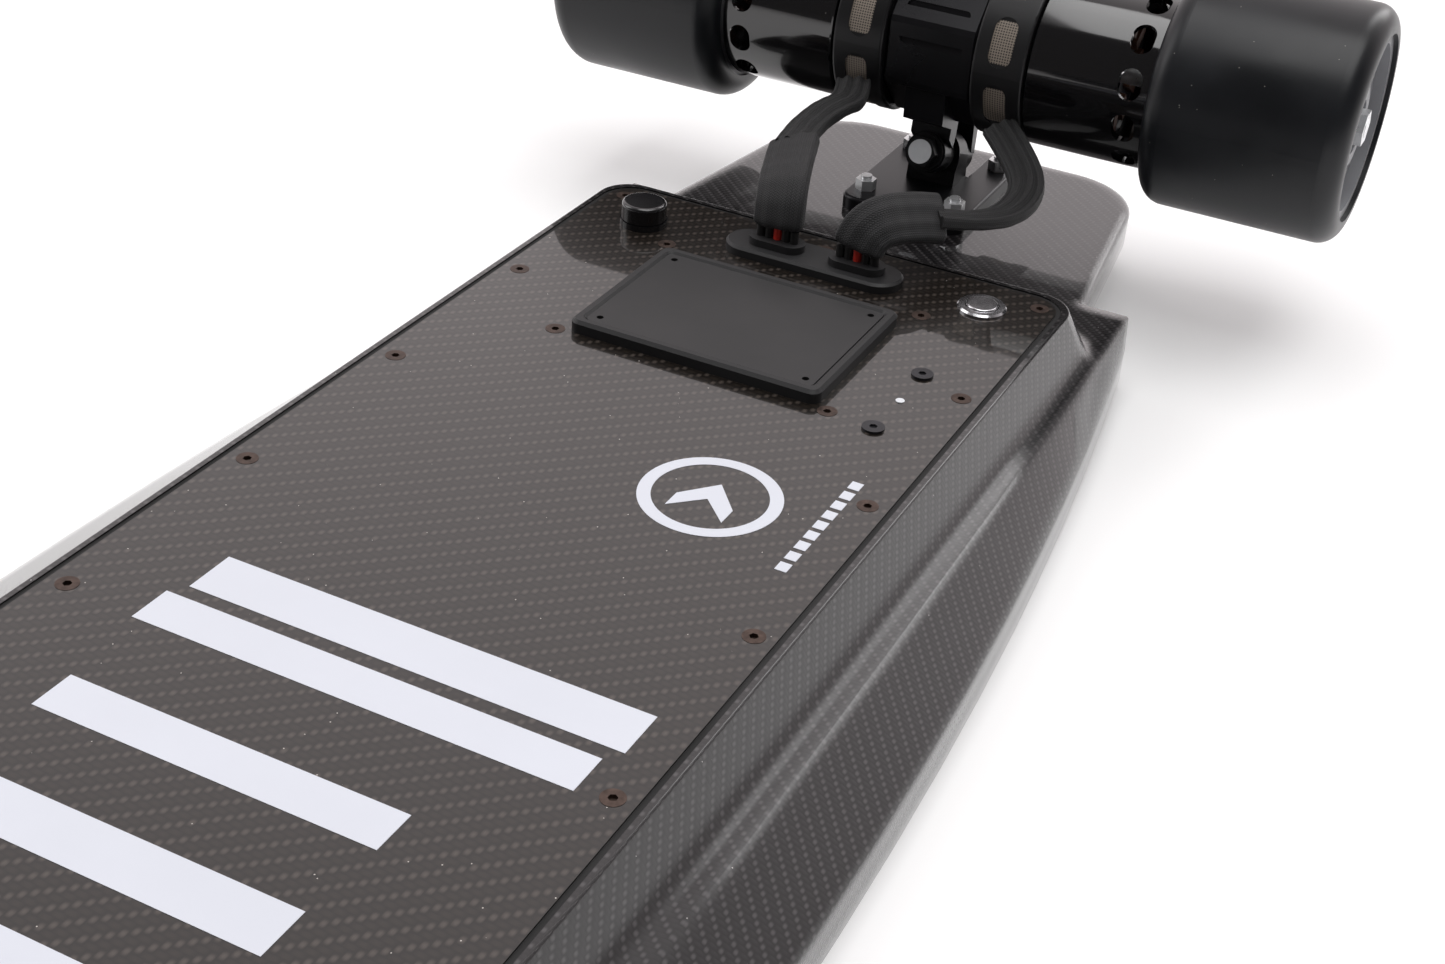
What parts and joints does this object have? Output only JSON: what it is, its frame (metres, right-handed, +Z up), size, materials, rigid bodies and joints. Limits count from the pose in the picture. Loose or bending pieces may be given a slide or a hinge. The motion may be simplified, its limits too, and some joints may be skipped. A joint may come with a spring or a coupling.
{
  "type": "electric skateboard",
  "caption": "Electric longboard lying upside down on its deck: long enclosure with a cover, hub motors on the rear truck, a plain front truck and wide wheels.",
  "frame": {"origin": "middle of the board at the level it rests on, upside down on its deck", "axes": "+X along the board to its nose, away from the motors; +Z up, from the deck to the wheels"},
  "size_m": [1.01, 0.353, 0.1495],
  "materials": {
    "deck": "gloss lacquer over black cloth on a wood core",
    "carbon": "twill carbon cloth under clear coat",
    "grip": "coarse grit",
    "seal": "matt",
    "copper_screw": "bronze plated",
    "black_steel": "black oxide",
    "light": "frosted",
    "dark_metal": "dark anodised",
    "black_plastic": "matt",
    "cell": "wrapped cells",
    "nickel": "plain",
    "black_wire": "satin",
    "red_wire": "satin",
    "silver": "polished",
    "truck": "black anodised, satin",
    "steel": "zinc plated",
    "bushing": "satin",
    "motor_mount": "black anodised, matt",
    "mesh": "woven dust mesh",
    "stator": "laminated",
    "winding": "enamelled copper",
    "can": "gloss black",
    "magnet": "nickel plated",
    "tyre": "matt urethane",
    "core": "light grey"
  },
  "bodies": {
    "board": {"antenna_screws": "black_steel", "battery_cells": "cell", "battery_manager": "black_plastic", "bottom_cover": "carbon", "button_bezel": "silver", "cable_glands": "black_plastic", "cell_holders": "black_plastic", "charge_port": "black_plastic", "cover_screws": "copper_screw", "cover_seal": "seal", "deck_shell": "deck", "front_baseplate": "truck", "gland_plate": "black_plastic", "grip_tape": "grip", "heat_plate": "dark_metal", "heat_plate_frame": "dark_metal", "heat_shrink_left": "black_wire", "heat_shrink_right": "black_wire", "motor_cable_left": "black_wire", "motor_cable_right": "black_wire", "motor_controller": "black_plastic", "mounting_bolts": "steel", "mounting_nuts": "steel", "nickel_strips": "nickel", "phase_leads": "black_wire", "pivot_bushings": "bushing", "rear_baseplate": "truck", "remote_receiver": "black_plastic", "signal_leads": "red_wire", "status_led": "light"},
    "rear_truck": {"rear_hanger": "truck", "motor_mounts": "motor_mount", "vent_mesh": "mesh", "rear_axle": "steel", "rear_axle_nuts": "steel", "rear_pivot_bolt": "steel", "motor_stators": "stator", "motor_windings": "winding"},
    "front_truck": {"front_hanger": "truck", "front_axle": "steel", "front_axle_nuts": "steel", "front_pivot_bolt": "steel"},
    "rear_left_wheel": {"rear_left_rotor_can": "can", "rear_left_rotor_magnets": "magnet", "rear_left_tyre": "tyre", "rear_left_wheel_bearings": "steel", "rear_left_wheel_core": "core"},
    "rear_right_wheel": {"rear_right_rotor_can": "can", "rear_right_rotor_magnets": "magnet", "rear_right_tyre": "tyre", "rear_right_wheel_bearings": "steel", "rear_right_wheel_core": "core"},
    "front_left_wheel": {"front_left_tyre": "tyre", "front_left_wheel_bearings": "steel", "front_left_wheel_core": "core"},
    "front_right_wheel": {"front_right_tyre": "tyre", "front_right_wheel_bearings": "steel", "front_right_wheel_core": "core"},
    "charge_cap": {"charge_cap": "black_plastic"},
    "power_button": {"power_button": "silver"}
  },
  "joints": [
    {"name": "rear_truck_pivot", "type": "hinge", "parent": "board", "child": "rear_truck", "pos_m": [-0.4252, 0, 0.058], "axis": [0.9397, 0, 0.342], "range_deg": [-12, 12], "stiffness_Nm_per_rad": 60, "deforming": ["motor_cable_left", "motor_cable_right"]},
    {"name": "front_truck_pivot", "type": "hinge", "parent": "board", "child": "front_truck", "pos_m": [0.4252, 0, 0.058], "axis": [-0.9397, 0, 0.342], "range_deg": [-12, 12], "stiffness_Nm_per_rad": 60},
    {"name": "rear_left_wheel_spin", "type": "hinge", "parent": "rear_truck", "child": "rear_left_wheel", "pos_m": [-0.455, 0, 0.101], "axis": [0, 1, 0], "continuous": true},
    {"name": "rear_right_wheel_spin", "type": "hinge", "parent": "rear_truck", "child": "rear_right_wheel", "pos_m": [-0.455, 0, 0.101], "axis": [0, 1, 0], "continuous": true},
    {"name": "front_left_wheel_spin", "type": "hinge", "parent": "front_truck", "child": "front_left_wheel", "pos_m": [0.455, 0, 0.101], "axis": [0, 1, 0], "continuous": true},
    {"name": "front_right_wheel_spin", "type": "hinge", "parent": "front_truck", "child": "front_right_wheel", "pos_m": [0.455, 0, 0.101], "axis": [0, 1, 0], "continuous": true},
    {"name": "power_button_press", "type": "slide", "parent": "board", "child": "power_button", "axis": [0, 0, -1], "range_m": [0, 0.001], "stiffness_N_per_m": 500},
    {"name": "charge_cap_pull", "type": "slide", "parent": "board", "child": "charge_cap", "axis": [0, 0, 1], "range_m": [0, 0.01]}
  ]
}
